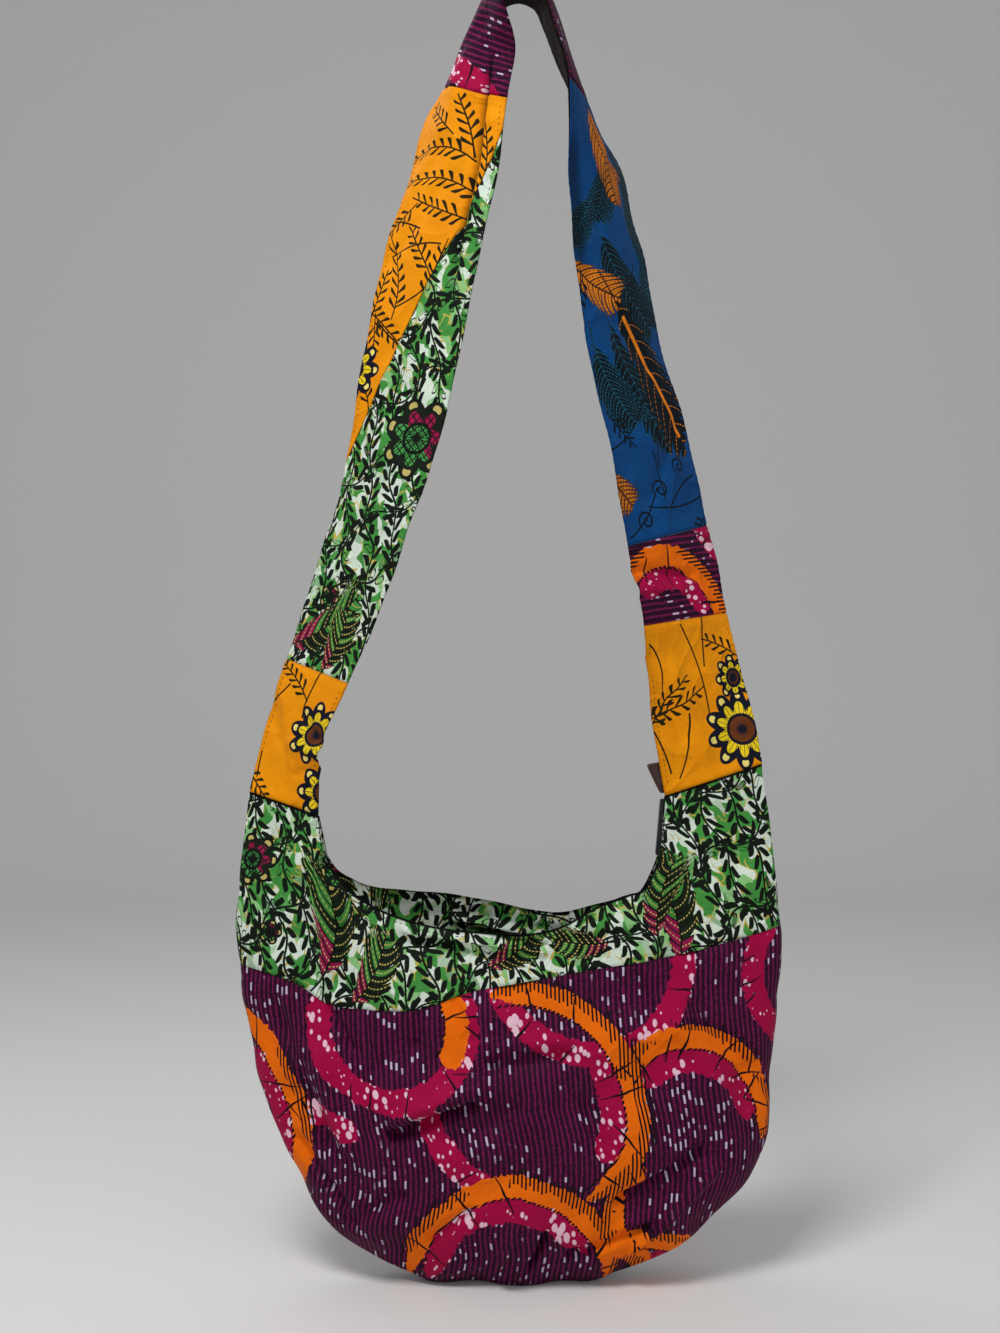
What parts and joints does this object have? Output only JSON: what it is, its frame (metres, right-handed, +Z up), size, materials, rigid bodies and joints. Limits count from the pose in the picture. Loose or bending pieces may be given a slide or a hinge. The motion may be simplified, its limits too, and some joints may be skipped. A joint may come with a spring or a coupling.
{
  "type": "cotton hobo bag",
  "caption": "Soft patchwork cotton sling bag: a rounded sack, a leaf-print yoke with two horns, and one wide patched shoulder strap, hanging from its strap.",
  "frame": {"origin": "the underside of the strap at the top of its loop, where the bag hangs", "axes": "+Z up, +X to the right of someone who faces the front, +Y to the back"},
  "size_m": [0.3993, 0.0989, 0.9599],
  "materials": {
    "body": "striped purple wax-print cotton with orange and magenta rings, matte",
    "yoke": "green and white leaf-print cotton, matte",
    "strap_left_orange": "orange sprig-print cotton, matte",
    "strap_left_green": "green and white leaf-print cotton, matte",
    "strap_left_sprig": "orange fern-print cotton, matte",
    "strap_top_purple": "striped purple and magenta cotton, matte",
    "strap_right_blue": "blue leaf-print cotton, matte",
    "strap_right_purple": "striped purple cotton with an orange arc, matte",
    "strap_right_orange": "orange sprig-print cotton, matte",
    "strap_lining": "plain dark brown cotton, matte",
    "zip_tape": "woven dark grey zip tape, matte",
    "zip_tab": "dark brown leather, satin"
  },
  "bodies": {
    "root": {"body": "body", "yoke": "yoke", "strap_left_orange": "strap_left_orange", "strap_left_green": "strap_left_green", "strap_left_sprig": "strap_left_sprig", "strap_top_purple": "strap_top_purple", "strap_right_blue": "strap_right_blue", "strap_right_purple": "strap_right_purple", "strap_right_orange": "strap_right_orange", "strap_lining": "strap_lining", "zip_tape": "zip_tape", "zip_tab": "zip_tab"}
  },
  "joints": []
}
